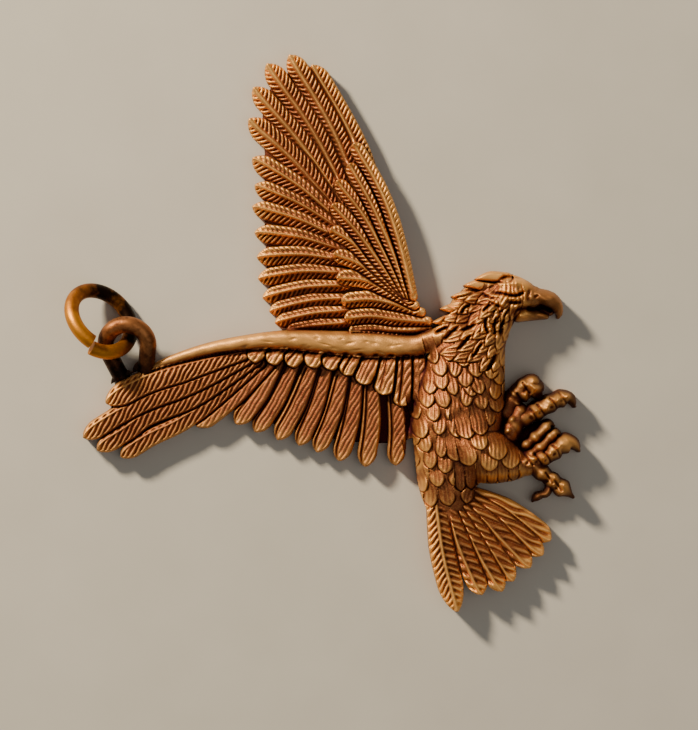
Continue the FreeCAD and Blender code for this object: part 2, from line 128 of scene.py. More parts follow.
def blurred(field, radius):
    """Three box blurs, close to a Gaussian of that radius in millimetres."""
    reach = max(1, int(round(radius / PITCH)))
    for _ in range(3):
        for axis in (0, 1):
            widths = [(reach + 1, reach) if k == axis else (0, 0) for k in (0, 1)]
            padded = np.pad(field, widths, mode="edge")
            summed = np.cumsum(padded, axis=axis)
            upper = np.take(summed, range(2 * reach + 1, summed.shape[axis]), axis=axis)
            lower = np.take(summed, range(0, summed.shape[axis] - 2 * reach - 1), axis=axis)
            field = (upper - lower) / (2 * reach + 1)
    return field


# ---- the relief ----
class Relief:
    """Height, signed distance inside the outline, and which piece is on top, on one grid."""

    MARGIN = 6 * PITCH
    OUTSIDE = -9.0

    def __init__(self):
        xs = np.arange(SKETCH_LOW[0] - self.MARGIN, SKETCH_HIGH[0] + self.MARGIN, PITCH)
        ys = np.arange(SKETCH_LOW[1] - self.MARGIN, SKETCH_HIGH[1] + self.MARGIN, PITCH)
        self.x, self.y = np.meshgrid(xs, ys)
        self.height = np.zeros(self.x.shape)
        self.inside = np.full(self.x.shape, self.OUTSIDE)
        self.piece = np.full(self.x.shape, -1)

    def around(self, line, reach):
        """The part of the grid within reach of a line's points, and its places."""
        corner = np.array([self.x[0, 0], self.y[0, 0]])
        most = self.x.shape[::-1]
        low = np.clip(((line.min(0) - reach - corner) / PITCH).astype(int), 0, most)
        high = np.clip(((line.max(0) + reach - corner) / PITCH).astype(int), 0, most)
        part = slice(low[1], high[1] + 1), slice(low[0], high[0] + 1)
        return part, self.x[part], self.y[part]

    def lay_over(self, place, inside, height, edge, piece, gap=GAP):
        """A blade over what is there, with a groove beside it where metal lies under it."""
        under = self.height[place]
        outline = self.inside[place]
        beside = (inside > -gap) & (inside <= 0) & (under > edge)
        falloff = 1 + inside / gap
        under[beside] += ((edge - under) * falloff)[beside]
        outer = (inside > -3 * PITCH) & (inside <= 0) & (outline < 0)
        under[outer] = edge[outer]
        on = inside > 0
        under[on] = height[on]
        self.piece[place][on] = PIECES.index(piece)
        outer_piece = outer & (self.piece[place] < 0)
        self.piece[place][outer_piece] = PIECES.index(piece)
        np.maximum(outline, inside, out=outline)

    def raise_to(self, place, inside, height, piece, crease=0.0):
        """A rounded mass that shows wherever it is higher than what is there."""
        under = self.height[place]
        outline = self.inside[place]
        on = (inside > -3 * PITCH) & (height > under)
        under[on] = height[on]
        self.piece[place][on] = PIECES.index(piece)
        np.maximum(outline, inside, out=outline)
        if crease:
            beside = (inside <= 0) & (inside > -2 * crease) & (under > WEB_TOP)
            under[beside] -= (crease * ramp(inside, -2 * crease, 0))[beside]

    def press(self, place, change):
        """Adds a ridge or cuts a groove in the metal that is there."""
        metal = self.height[place]
        metal += np.where(self.inside[place] > 0, change, 0)


relief = Relief()


def rounded(inside, width):
    """Height of a round edge of that width, from 0 at the outline to 1."""
    return np.sqrt(1 - (1 - np.clip(inside / width, 0, 1))**2)


def half_width(along, length, width, root_share, tip_length, point):
    """Half the width of a blade that closes in a round tip, or a pointed one where point is 1."""
    spread = root_share + (1 - root_share) * np.minimum(1, along / (WIDENS_OVER * length))
    closing = 1 - np.clip((length - along) / tip_length, 0, 1)
    return width / 2 * spread * np.clip(1 - closing**(2 - 0.6 * point), 0, 1)**(0.5 + 0.35 * point)


def blade(piece, points, width, top, root_share=0.55, tip=0.6, point=0.0, drop=0.5, arch=0.12, tilt=0.0,
          spine=0.0, spine_width=0.1, spine_rise=0.07, barb_pitch=0.45, barb_depth=0.13, right_barbs=1.0,
          slant=(0.9, 0.9), strokes=None, rim=0.16, gap=GAP, seed=0.0):
    """One feather: a thin arched blade with rounded edges, a spine, and barbs.

    The barbs slant away from the spine or, where strokes gives a direction in degrees, run that way
    across it. Those on the right are right_barbs times as deep. The spine's place is a share of half
    the width, and tip is the length of the closing end as a share of the width.
    """
    line = smooth_line(points)
    place, x, y = relief.around(line, width)
    along, across, length = along_and_across(x, y, line)
    half = half_width(along, length, width, root_share, tip * width, point)
    inside = half - np.abs(across)
    lift = rounded(inside, ROUNDING)
    side = across - spine * half
    wobble = 0.22 * unevenness(x, y, 1.1, seed) * barb_pitch
    change = np.zeros(x.shape)
    for sign, lean in zip((1, -1), slant):
        if strokes is None:
            passed = along - lean * np.abs(side)
            offset = 0.5
        else:
            turn = math.radians(strokes)
            passed = y * math.cos(turn) - x * math.sin(turn)
            offset = 0.4
        phase = (passed + wobble) / barb_pitch + (offset if sign < 0 else 0.0)
        cut = (0.5 - 0.5 * np.cos(2 * math.pi * phase))**BARB_SHARPNESS
        clear = ramp(np.abs(side), 0.6 * spine_width, 1.7 * spine_width) * ramp(inside, 0.35 * rim, rim)
        depth = barb_depth if sign > 0 else barb_depth * right_barbs
        change = np.where(side * sign > 0, -depth * cut * clear, change)
    change += spine_rise * np.exp(-(side / spine_width)**2)
    surface = top + tilt * across + arch * (1 - (across / (width / 2))**2)
    height = surface - drop * (1 - lift) + change * ramp(along, 0, 0.3)
    height += 0.02 * unevenness(x, y, 0.7, seed + 4)
    relief.lay_over(place, inside, height, surface - drop, piece, gap)


def mass(piece, stations, power=2.2, crease=0.0, floor=0.4, seed=0.0, rough=0.03):
    """A rounded mass along stations (x, y, width, height). A higher power makes it squarer."""
    values = np.array(stations, float)
    line = smooth_line(values[:, :2])
    widths = smooth_line(values[:, [2, 3]])
    place, x, y = relief.around(line, values[:, 2].max() / 2 + 3 * PITCH)
    along, across, _ = along_and_across(x, y, line)
    passed = passed_at(line)
    half = np.interp(along, passed, widths[:, 0]) / 2
    top = np.interp(along, passed, widths[:, 1])
    inside = half - np.abs(across)
    share = np.clip(1 - (np.abs(across) / half)**power, 0, 1)
    height = floor + (top - floor) * share**(1 / power) + rough * unevenness(x, y, 0.6, seed)
    relief.raise_to(place, inside, height, piece, crease)


def web(piece, points):
    """The thin flat metal between the feathers, inside a smooth closed outline."""
    ring = smooth_line(points + points[:1], 6)
    place, x, y = relief.around(ring, 2 * GAP)
    distance = np.full(x.shape, np.inf)
    crossings = np.zeros(x.shape, bool)
    for (ax, ay), (bx, by) in zip(ring[:-1], ring[1:]):
        dx, dy = bx - ax, by - ay
        share = np.clip(((x - ax) * dx + (y - ay) * dy) / max(dx * dx + dy * dy, 1e-9), 0, 1)
        distance = np.minimum(distance, np.hypot(x - ax - share * dx, y - ay - share * dy))
        if ay != by:
            crossings ^= ((ay > y) != (by > y)) & (x < ax + (y - ay) * dx / dy)
    inside = np.where(crossings, distance, -distance)
    height = WEB_TOP - WEB_DROP * (1 - rounded(inside, ROUNDING)) + 0.03 * unevenness(x, y, 0.8, 0.0)
    relief.lay_over(place, inside, height, np.full(x.shape, WEB_TOP - WEB_DROP), piece)


def stroke(points, width, change, taper=0.35):
    """A ridge, or a groove if change is below 0, that fades at both ends."""
    line = smooth_line(points)
    place, x, y = relief.around(line, 3 * width)
    along, across, length = along_and_across(x, y, line)
    fade = ramp(along, -0.01, taper * length) * ramp(length - along, -0.01, taper * length)
    relief.press(place, change * np.exp(-(across / width)**2) * fade)


def knob(middle_x, middle_y, across, along, turn, rise):
    """An oval swelling, or a hollow if rise is below 0."""
    angle = math.radians(turn)
    place, x, y = relief.around(np.array([(middle_x, middle_y)]), 2.5 * max(across, along))
    dx, dy = x - middle_x, y - middle_y
    u = (dx * math.cos(angle) + dy * math.sin(angle)) / along
    v = (-dx * math.sin(angle) + dy * math.cos(angle)) / across
    relief.press(place, rise * np.exp(-(u * u + v * v)))


def bowed(root, tip, bow):
    """Three points of a line from root to tip, whose middle is pushed to its left."""
    dx, dy = tip[0] - root[0], tip[1] - root[1]
    length = math.hypot(dx, dy)
    middle = ((root[0] + tip[0]) / 2 - dy / length * bow, (root[1] + tip[1]) / 2 + dx / length * bow)
    return [root, middle, tip]


# ---- far wing ----
# Flight feathers from the leading edge downwards: (root, tip, width, bow)
FAR_FLIGHT = [
    ((6.2, 8.3), (-0.7, 23.8), 1.75, -0.75),
    ((4.2, 10.4), (-2.7, 24.7), 1.75, -0.65),
    ((3.0, 10.9), (-4.7, 23.9), 1.8, -0.55),
    ((2.4, 10.6), (-5.9, 21.8), 1.75, -0.5),
    ((2.0, 10.2), (-6.3, 19.0), 1.95, -0.45),
    ((2.0, 9.6), (-6.0, 15.5), 1.75, -0.35),
    ((2.0, 9.0), (-5.8, 13.1), 1.55, -0.3),
    ((2.0, 8.2), (-6.0, 11.2), 1.5, -0.3),
    ((2.0, 7.3), (-5.8, 8.9), 1.6, -0.3),
    ((2.1, 6.4), (-5.6, 6.7), 1.6, -0.3),
    ((2.2, 5.3), (-5.5, 4.8), 1.5, -0.3),
    ((2.4, 4.2), (-5.1, 3.1), 1.4, -0.3),
    ((2.6, 3.1), (-4.5, 1.9), 1.3, -0.25),
    ((2.8, 2.0), (-4.0, 0.9), 1.25, -0.2),
    ((2.8, 0.9), (-3.1, 0.1), 1.2, -0.1),
]
FAR_WEB = [
    (2.0, -0.2), (-2.7, 0.3), (-4.0, 2.2), (-4.6, 4.4), (-4.8, 7.0), (-4.9, 9.4), (-5.0, 12.0),
    (-4.9, 14.6), (-5.0, 17.4), (-5.1, 19.6), (-4.5, 21.6), (-3.4, 23.0), (-1.9, 23.0), (-0.2, 22.0),
    (3.0, 16.6), (5.2, 10.0), (6.8, 4.4), (8.6, 0.6),
]
FAR_LONG_FEATHERS = 5         # how many of the flight feathers belong to the wing's outer part
# Coverts from the leading edge downwards: (line from root to tip, width)
FAR_COVERTS = [
    ([(8.3, 3.2), (7.0, 8.2), (5.4, 12.6), (3.0, 16.8)], 1.35),
    ([(8.0, 3.3), (6.4, 7.4), (4.6, 11.4), (2.6, 15.0)], 1.3),
    ([(7.7, 3.4), (5.8, 7.0), (3.9, 10.4), (1.5, 13.5)], 1.35),
    ([(7.6, 3.4), (5.4, 6.2), (3.3, 9.0), (1.1, 11.4)], 1.4),
    ([(7.8, 3.2), (5.4, 5.5), (3.1, 7.9), (0.9, 9.2)], 1.45),
    ([(8.0, 2.9), (5.6, 4.7), (3.4, 6.2), (1.2, 7.0)], 1.4),
    ([(8.4, 2.4), (6.2, 3.7), (4.0, 4.7), (1.5, 4.9)], 1.5),
    ([(9.0, 1.8), (6.6, 2.6), (4.4, 3.0), (1.9, 2.8)], 1.45),
    ([(9.6, 1.0), (7.0, 1.2), (4.6, 1.5), (2.2, 1.3)], 1.4),
    ([(9.6, 0.3), (7.0, 0.2), (4.8, 0.3), (2.6, 0.2)], 1.2),
]


def far_wing():
    web("far_wing_flight", FAR_WEB)
    for index, (root, tip, width, bow) in enumerate(FAR_FLIGHT):
        low = index >= FAR_LONG_FEATHERS
        top = FLIGHT_TOP + 0.06 * (index % 2)
        blade("far_wing_flight", bowed(root, tip, bow), width + 0.12, top, tip=0.75, point=0.45, drop=0.42,
              tilt=-0.34 if low else -0.12, spine=-0.15 if low else 0.1, spine_rise=0.16,
              spine_width=0.15 if low else 0.22, barb_pitch=0.47, barb_depth=0.25,
              right_barbs=0.45 if low else 0.9, slant=(0.8, 0.8), rim=0.1, seed=index)
    for index, (line, width) in enumerate(reversed(FAR_COVERTS)):
        top = COVERT_TOP + 0.03 * (index % 3)
        blade("far_wing_coverts", line, width, top, root_share=0.6, drop=0.4, tilt=-0.22, spine=0.05,
              spine_rise=0.15, spine_width=0.16, barb_pitch=0.42, barb_depth=0.22, right_barbs=0.6,
              slant=(0.8, 0.8), rim=0.1, gap=0.13, seed=20 + index)
        knob(*line[-1], 0.3, 0.3, 0, 0.2)
    # the bony leading edge
    stroke([(9.6, 1.6), (8.3, 3.6), (7.3, 7.2), (6.2, 11.0), (4.6, 14.8)], 0.3, 0.18)


# ---- near wing ----
NEAR_WEB = [
    (-6.0, -1.6), (-12.0, -3.0), (-17.0, -5.3), (-19.3, -7.5), (-19.7, -8.9), (-18.5, -9.9), (-15.2, -9.2),
    (-12.0, -7.8), (-9.6, -7.2), (-7.9, -6.7), (-6.3, -7.3), (-4.4, -8.0), (-2.5, -8.5), (-0.9, -8.9),
    (1.0, -9.4), (3.2, -9.7), (6.0, -9.8), (8.0, -9.4), (9.3, -8.2), (9.4, -2.0), (2.0, -1.4),
]
# Long flight feathers, outermost first: (line from root to tip, width)
NEAR_PRIMARIES = [
    ([(-6.7, -1.9), (-10.7, -2.95), (-15.2, -4.3), (-19.0, -6.2)], 2.15),
    ([(-6.2, -2.3), (-10.7, -4.4), (-15.2, -6.0), (-18.0, -7.4), (-21.0, -9.3)], 1.75),
    ([(-5.6, -2.5), (-10.7, -5.6), (-15.2, -7.4), (-17.0, -8.7), (-19.8, -10.4)], 1.7),
    ([(-5.2, -2.7), (-9.8, -6.3), (-12.5, -8.1), (-15.2, -9.4), (-17.7, -11.0)], 1.6),
]
# Shorter flight feathers, fanned from the arm: (root, tip, width)
NEAR_SECONDARIES = [
    ((-4.6, -2.7), (-11.0, -8.3), 1.5),
    ((-3.9, -2.7), (-7.5, -8.1), 1.55),
    ((-2.5, -2.9), (-5.8, -8.8), 1.5),
    ((-0.8, -3.1), (-3.8, -9.5), 1.45),
    ((0.5, -3.2), (-1.9, -10.0), 1.4),
    ((2.0, -3.7), (-0.3, -10.6), 1.45),
    ((3.2, -4.0), (1.7, -11.4), 1.5),
    ((4.6, -4.4), (4.0, -11.9), 1.5),
    ((6.6, -5.2), (6.7, -11.8), 1.4),
]
# Small feathers under the arm: (root, tip, width)
NEAR_COVERTS = [
    ((-4.7, -0.9), (-6.3, -2.3), 1.5),
    ((-3.1, -0.9), (-4.6, -2.6), 1.55),
    ((-1.4, -1.0), (-2.9, -2.8), 1.6),
    ((0.3, -1.0), (-1.1, -2.9), 1.7),
    ((1.9, -1.1), (0.5, -3.1), 1.65),
    ((3.4, -1.2), (2.1, -3.7), 1.6),
    ((4.9, -1.4), (3.6, -4.5), 1.7),
    ((6.3, -1.6), (5.5, -5.5), 1.75),
    ((7.6, -1.8), (7.2, -6.5), 1.6),
    ((8.8, -1.8), (8.8, -6.2), 1.3),
]
# Smooth arm: (x, y, width, height)
NEAR_ARM = [
    (11.0, -0.3, 2.0, 3.5), (9.6, -0.8, 1.9, 3.2), (8.0, -1.15, 1.9, 2.9), (4.5, -1.05, 2.3, 2.85),
    (0.9, -0.85, 2.1, 2.8), (-3.0, -0.6, 1.7, 2.75), (-6.5, -0.85, 1.35, 2.65), (-10.0, -1.45, 1.1, 2.4),
    (-13.2, -2.4, 0.8, 2.15), (-15.1, -3.15, 0.4, 1.8),
]


def near_wing():
    web("near_wing", NEAR_WEB)
    for index, (root, tip, width) in enumerate(reversed(NEAR_SECONDARIES)):
        top = FLIGHT_TOP + 0.1 * (index % 2)
        blade("near_wing", bowed(root, tip, 0.25), width + 0.25, top, root_share=0.8, tip=0.7, point=0.45,
              drop=0.6, arch=0.05, tilt=0.06, spine=-0.6, spine_rise=-0.34, barb_pitch=0.37,
              barb_depth=0.06, strokes=60, rim=0.3, seed=40 + index)
    for index, (line, width) in enumerate(reversed(NEAR_PRIMARIES)):
        blade("near_wing", line, width, FLIGHT_TOP + 0.12 * index, root_share=0.5, tip=0.9, point=0.3,
              tilt=0.04, spine=-0.5, spine_rise=0.06, spine_width=0.09, barb_pitch=0.4, barb_depth=0.2,
              strokes=63, rim=0.3, seed=60 + index)
    for index, (root, tip, width) in enumerate(NEAR_COVERTS):
        top = COVERT_TOP + 0.08 * (index % 2)
        blade("near_wing", bowed(root, tip, 0.1), width, top, root_share=0.85, tip=0.35,
              point=0.3 * (index % 2), drop=0.7, tilt=0.12, spine=-0.3, spine_rise=-0.16 * (index % 3),
              barb_depth=0.08, strokes=60, rim=0.3, seed=80 + index)
    mass("near_wing", NEAR_ARM, power=2.6, crease=0.3, floor=1.3, seed=5)
    # small hollows in the smooth arm, then deeper ones along its lower side
    for step in range(26):
        x = 8.4 - 0.72 * step
        y = -0.95 - 0.012 * (x - 0.5)**2 + 0.5 * math.sin(4.3 * step)
        across = 0.1 + 0.04 * math.sin(2.7 * step)
        along = 0.35 + 0.15 * math.sin(1.9 * step)
        knob(x, y, across, along, 12 * math.sin(step) - x, -0.08)
    for step in range(11):
        knob(9.0 - 1.35 * step, -2.1 + 0.05 * step, 0.16, 0.3, 20 * math.sin(3.0 * step), -0.3)


# ---- tail ----
# (root, tip, width, bow to the left of the way from root to tip)
TAIL_FEATHERS = [
    ((12.6, -14.0), (20.5, -18.4), 1.9, 0.5),
    ((12.2, -14.1), (19.8, -19.7), 1.8, 0.3),
    ((11.9, -14.2), (18.7, -20.8), 1.8, 0.2),
    ((11.5, -14.3), (17.2, -22.0), 1.8, 0.1),
    ((11.2, -14.4), (16.2, -22.9), 1.7, 0.0),
    ((10.9, -14.4), (14.4, -23.2), 1.9, -0.15),
    ((10.2, -14.2), (12.2, -24.75), 2.3, -0.3),
]


def tail():
    for index, (root, tip, width, bow) in enumerate(TAIL_FEATHERS):
        last = index == len(TAIL_FEATHERS) - 1
        blade("tail", bowed(root, tip, bow), width, TAIL_TOP + 0.07 * index, root_share=0.7,
              tip=1.1 if last else 0.7, point=0.5 if last else 0.3, drop=0.45,
              spine=0.0 if last else -0.25, spine_width=0.15, spine_rise=0.12, barb_pitch=0.6,
              barb_depth=0.22, slant=(0.6, 1.0), strokes=None if last else -20, rim=0.12,
              gap=0.2 if last else 0.13, seed=100 + index)


# ---- legs and feet ----
# Each toe: (line from the ankle to the claw's tip, width, height, number of joints)
TOES = [
    ([(16.6, -6.9), (17.2, -5.8), (18.0, -5.2), (19.0, -5.0), (19.6, -6.0)], 1.9, 2.5, 3),
    ([(17.3, -5.4), (18.2, -4.5), (18.9, -4.3), (19.5, -5.0)], 1.2, 2.5, 2),
    ([(17.0, -8.2), (18.4, -7.4), (19.8, -6.6), (21.2, -5.9), (22.2, -5.8), (22.7, -6.7)], 1.6, 2.7, 4),
    ([(18.3, -9.9), (19.3, -9.1), (20.3, -8.1), (20.9, -8.3)], 1.1, 2.6, 2),
    ([(18.7, -10.8), (19.8, -9.9), (20.9, -8.9), (21.5, -9.2)], 1.1, 2.7, 2),
    ([(17.4, -11.7), (18.9, -11.3), (20.3, -10.8), (21.3, -10.0), (22.4, -9.8), (23.1, -10.6)],
     1.75, 3.0, 4),
    ([(18.9, -11.8), (20.0, -12.6), (21.0, -13.4), (21.8, -14.0), (22.5, -14.6)], 1.5, 2.7, 3),
    ([(20.4, -13.3), (20.2, -14.2), (19.4, -14.5), (18.8, -15.1)], 0.7, 2.0, 2),
]
FAR_SHANK = [(15.8, -9.9, 2.0, 2.4), (16.7, -8.9, 2.1, 2.8), (17.2, -8.0, 2.0, 2.9), (17.7, -7.0, 1.7, 2.6)]
PALM = [(17.6, -10.6, 1.6, 1.5), (18.6, -9.6, 2.2, 1.5), (19.6, -8.6, 1.6, 1.5)]
CLAW_SHARE = 0.24             # share of a toe that is claw
FOOT_LUMPS = [
    (18.6, -4.6), (19.1, -5.0), (18.2, -5.4), (18.9, -5.7), (17.6, -6.2), (17.0, -7.6), (16.6, -8.7),
]
TOE_CREASES = [
    (18.4, -5.0), (17.9, -5.9), (19.0, -7.1), (19.7, -6.9), (20.8, -6.2), (21.6, -5.8), (18.6, -11.3),
    (19.4, -11.2), (20.2, -10.9), (21.0, -10.3), (20.4, -12.9), (21.2, -13.6),
]


def toe(points, width, height, joints, seed):
    """A toe of bulging joints that ends in a bare claw."""
    line = smooth_line(points, 5)
    passed = passed_at(line)
    share = passed / passed[-1]
    bulge = 1 + 0.09 * np.cos(2 * math.pi * joints * share / (1 - CLAW_SHARE) + 0.8)
    bulge += 0.05 * np.sin(9.0 * share + seed)
    closing = 1 - 0.8 * ramp(share, 1 - CLAW_SHARE, 1.0)
    widths = width * bulge * closing
    tops = height * (1 + 0.45 * (bulge - 1)) * (1 - 0.35 * ramp(share, 1 - CLAW_SHARE, 1.0))
    stations = np.column_stack([line, widths, tops])[::2]
    mass("legs_and_feet", stations, power=2.1, floor=0.8, seed=seed, rough=0.14)


def feet():
    mass("legs_and_feet", PALM, floor=0.8, seed=30, rough=0.1)
    mass("legs_and_feet", FAR_SHANK, power=2.0, floor=0.8, seed=31, rough=0.12)
    for index, (points, width, height, joints) in enumerate(TOES):
        toe(points, width, height, joints, 33 + index)
    for x, y in FOOT_LUMPS:
        knob(x, y, 0.22, 0.3, 50, 0.35)
    for x, y in TOE_CREASES:
        lean = 0.15 * math.sin(5.0 * x + 3.0 * y)
        stroke([(x - 0.5, y + 0.55 + lean), (x - 0.05, y), (x + 0.3, y - 0.6 + lean)], 0.09, -0.3, 0.1)
        knob(x + 0.3 + lean, y + 0.2, 0.2, 0.28, 90 * math.sin(x), 0.35)
        knob(x - 0.25, y - 0.3 + lean, 0.14, 0.2, 60 * math.sin(y), -0.3)


# ---- body ----
# Stations of each rounded mass: (x, y, width, height)
BODY_LINE = [
    (11.2, -15.8, 3.4, 2.2), (11.3, -13.2, 5.4, 3.2), (12.0, -10.0, 7.6, 4.0), (12.4, -6.6, 8.0, 4.2),
    (12.9, -3.4, 7.2, 4.2), (13.6, -0.6, 6.1, 4.1), (14.6, 1.2, 5.2, 3.9), (15.6, 2.4, 4.4, 3.7),
]
HEAD_LINE = [
    (13.2, 2.0, 3.4, 3.5), (14.7, 3.0, 3.9, 3.9), (16.4, 3.4, 3.8, 4.0), (17.8, 3.3, 3.1, 3.7),
    (18.8, 3.1, 2.2, 3.2),
]
UPPER_BEAK = [
    (18.2, 3.1, 2.1, 3.3), (19.4, 3.15, 1.65, 3.2), (20.4, 2.95, 1.5, 3.1), (21.0, 2.45, 1.2, 2.7),
    (21.25, 1.8, 0.7, 2.2), (21.2, 1.4, 0.3, 1.7),
]
LOWER_BEAK = [(17.7, 1.7, 1.5, 3.1), (19.0, 1.6, 1.0, 2.7), (20.1, 1.45, 0.5, 2.1)]
MOUTH_FLOOR = [(18.4, 2.2, 1.4, 1.3), (20.4, 2.0, 1.0, 1.2)]
THIGH = [
    (12.2, -9.6, 2.6, 4.3), (13.6, -10.2, 4.6, 4.6), (15.2, -11.0, 5.0, 4.4), (17.0, -11.6, 3.4, 3.5),
    (18.4, -11.8, 1.8, 2.8),
]
# Lower ends of the feathers on the breast, from the tail upwards, and on the thigh
BREAST_SCALES = [
    (9.9, -15.4), (11.5, -15.3), (13.0, -15.1), (9.2, -14.1), (10.5, -13.6), (12.0, -13.6),
    (8.5, -11.9), (9.8, -12.0), (11.1, -12.4), (9.5, -10.5), (10.7, -11.0), (8.4, -10.0), (9.1, -9.3),
    (10.5, -9.0), (8.6, -7.6), (10.1, -7.8), (11.7, -7.9), (13.4, -8.0), (15.0, -8.2), (9.5, -6.6),
    (11.1, -6.6), (12.9, -6.5), (14.4, -6.8), (15.8, -7.0), (9.7, -5.4), (11.9, -5.5), (10.8, -5.0),
    (13.4, -5.6), (14.2, -5.4), (15.5, -5.9), (12.9, -4.8), (10.8, -3.8), (11.9, -3.9), (16.0, -4.6),
    (13.9, -3.9), (15.1, -4.1), (10.2, -2.7), (11.4, -2.5), (12.7, -3.0),
]
THIGH_SCALES = [
    (12.1, -11.3), (13.3, -11.7), (15.0, -12.2), (16.9, -12.0), (14.3, -10.3), (15.8, -11.2),
    (12.1, -9.2), (13.1, -9.3), (14.3, -9.0),
]
# Rows of long neck feathers, lowest row first: (nape tip, throat tip, count)
HACKLE_ROWS = [
    ((10.6, -1.9), (15.9, -3.9), 5),
    ((10.2, -0.8), (16.1, -2.8), 5),
    ((10.2, 0.4), (16.2, -1.7), 6),
    ((10.4, 1.4), (16.3, -0.6), 6),
    ((11.2, 2.3), (16.5, 0.4), 6),
    ((12.3, 3.0), (16.9, 1.3), 5),
]
# Tufts that stand out from the nape: (root, tip, width)
TUFTS = [
    ((13.0, 1.0), (9.9, 0.9), 1.0),
    ((13.4, 2.0), (10.6, 2.1), 1.1),
    ((14.2, 3.0), (11.6, 3.2), 1.15),
    ((15.2, 4.0), (12.7, 4.2), 1.1),
    ((16.6, 4.9), (13.7, 4.75), 1.0),
]
# Ridges along a feather: (height, how far they wander, how often they do, spacing)
FAINT_VANES = (0.03, 0.06, 3.0, 0.36)
STRANDS = (0.08, 0.08, 2.1, 0.4)
# Deep cuts between the neck feathers
NECK_CUTS = [
    [(12.4, 0.6), (11.6, 0.0), (10.8, -0.85)],
    [(13.4, -0.1), (12.8, -0.8), (12.1, -1.7)],
    [(14.4, -0.7), (13.9, -1.5), (13.3, -2.4)],
    [(15.6, -1.6), (15.2, -2.6), (14.6, -3.5)],
    [(13.8, 0.9), (13.2, 0.4), (12.4, 0.2)],
    [(11.4, 0.6), (10.8, 0.3), (10.1, -0.1)],
    [(15.3, 2.5), (14.8, 2.3), (14.3, 1.8)],
    [(14.7, 1.4), (14.6, 0.6), (14.9, -0.2)],
    [(15.6, 1.6), (15.4, 0.6), (15.5, -0.4)],
    [(16.3, 1.3), (16.0, 0.5), (15.9, -0.4)],
    [(13.4, 2.5), (12.8, 2.2), (12.4, 1.6)],
]


def lie_on_body(points, width, tip_length, base, rise, sink, ridges, point, seed):
    """A short feather that lies on the body and stands up a little at its free end.

    It climbs by rise from 0.2 below the surface base, and its edge falls by sink. At its root it runs
    out into what is there.
    """
    line = smooth_line(points)
    place, x, y = relief.around(line, width)
    along, across, length = along_and_across(x, y, line)
    share = along / length
    half = half_width(along, length, width, 0.8, tip_length, point)
    inside = half - np.abs(across)
    lift = rounded(inside, BODY_ROUNDING)
    surface = base[place] - 0.2 + rise * ramp(share, 0.1, 1.0)
    clear = ramp(inside, 0.05, 0.25)
    sink = sink * (0.45 + 0.55 * ramp(share, 0.5, 0.85))
    ridge, wander, often, spacing = ridges
    wave = ridge * np.cos(2 * math.pi * (across + wander * np.sin(often * along)) / spacing)
    height = surface - sink * (1 - lift) + wave * clear
    height += 0.03 * unevenness(x, y, 0.45, seed)
    keep = ramp(share, 0.0, 0.5)
    under = relief.height[place]
    outline = relief.inside[place]
    height = height * keep + under * (1 - keep)
    edge = surface - sink - 0.1
    beside = (inside > -BODY_ROUNDING) & (inside <= 0) & (outline > 0) & (share > 0.6) & (under > edge)
    falloff = (1 + inside / BODY_ROUNDING) * ramp(share, 0.6, 0.95)
    under[beside] += ((edge - under) * falloff)[beside]
    on = (inside > 0) & (outline > 0)
    under[on] = height[on]
    relief.piece[place][on] = PIECES.index("body")


def towards(tip, length, turn):
    """Root of a feather of that length whose tip points in direction turn."""
    angle = math.radians(turn)
    return tip[0] - length * math.cos(angle), tip[1] - length * math.sin(angle)


def body():
    for stations, power, seed in ((BODY_LINE, 2.4, 7), (HEAD_LINE, 2.2, 8), (THIGH, 2.3, 9)):
        mass("body", stations, power, floor=1.2, seed=seed)
    for index, (root, tip, width) in enumerate(TUFTS):
        blade("body", bowed(root, tip, -0.15), width, TUFT_TOP - 0.05 * index, root_share=0.9, tip=1.6,
              point=1.0, drop=0.9, barb_depth=0.0, spine_rise=0.0, seed=120 + index)
    base = blurred(relief.height, 0.25)
    for index, tip in enumerate(BREAST_SCALES):
        root = towards(tip, 2.7 + 0.25 * math.sin(index * 1.3), -84 + 12 * math.sin(index * 2.3))
        width = 1.24 + 0.15 * math.sin(index * 1.7)
        lie_on_body([root, tip], width, 0.8, base, 0.45, 0.34, FAINT_VANES, 0.35, index)
    # the plainer feathers on the thigh's lower side
    for index in range(6):
        tip = (12.5 + 0.95 * index, -14.0 + 0.15 * index + 0.15 * math.sin(3 * index))
        lie_on_body([towards(tip, 2.9, -84), tip], 0.95, 0.6, base, 0.2, 0.4, FAINT_VANES, 0.4, 60 + index)
    for index, tip in enumerate(THIGH_SCALES):
        root = towards(tip, 2.9, -82 + 9 * math.sin(index * 1.9))
        width = 1.6 + 0.12 * math.sin(index * 2.9)
        lie_on_body([root, tip], width, 0.8, base, 0.45, 0.34, FAINT_VANES, 0.3, 50 + index)
    for row, (nape, throat, count) in enumerate(HACKLE_ROWS):
        for step in range(count):
            share = (step + 0.5 * (row % 2)) / (count - 0.5)
            wander = 0.25 * math.sin(3.7 * step + 1.9 * row)
            x = nape[0] + (throat[0] - nape[0]) * share
            y = nape[1] + (throat[1] - nape[1]) * share + wander
            turn = 206 + 56 * share + 8 * math.sin(5.1 * step + row)
            line = bowed(towards((x, y), 3.8, turn), (x, y), 0.35)
            lie_on_body(line, 1.15, 1.3, base, 0.4, 0.22, STRANDS, 0.8, 10 * row + step)
    for cut in NECK_CUTS:
        stroke(cut, 0.14, -0.65, 0.3)
    head()


